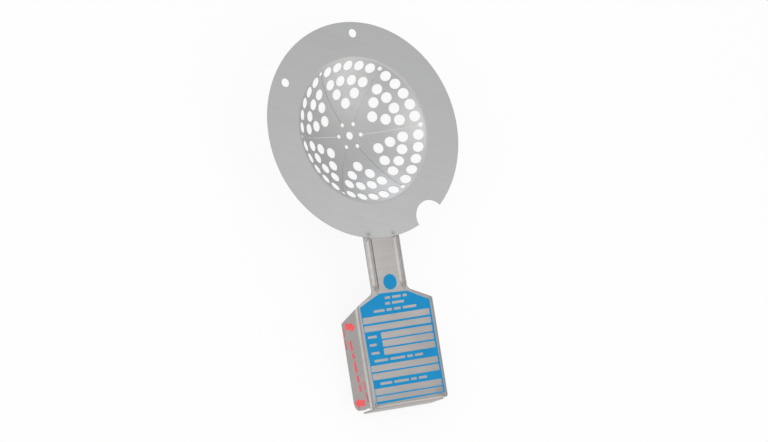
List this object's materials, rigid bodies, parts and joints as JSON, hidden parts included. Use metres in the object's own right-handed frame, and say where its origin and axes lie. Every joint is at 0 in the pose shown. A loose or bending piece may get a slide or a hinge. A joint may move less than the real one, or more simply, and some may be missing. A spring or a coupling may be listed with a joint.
{
  "type": "rupture disc",
  "caption": "Domed bursting disc with a perforated, slit stainless section, a clear film seal, a flat flange and a folded identification tag.",
  "frame": {"origin": "centre of the disc, on the flange's upper face at the concave side", "axes": "+Z out of the hollow of the dome, along the pipe's axis; the tag hangs out towards -Y; +X to the right of the tag"},
  "size_m": [0.117, 0.2052, 0.0253],
  "materials": {
    "stainless_sheet": "rolled, satin",
    "clear_film": "clear",
    "stainless_ring": "rolled, satin",
    "stainless_tag": "fine brushed"
  },
  "bodies": {
    "root": {"perforated_section": "stainless_sheet", "seal_film": "clear_film", "retaining_ring": "stainless_ring", "tag": "stainless_tag"}
  },
  "joints": []
}
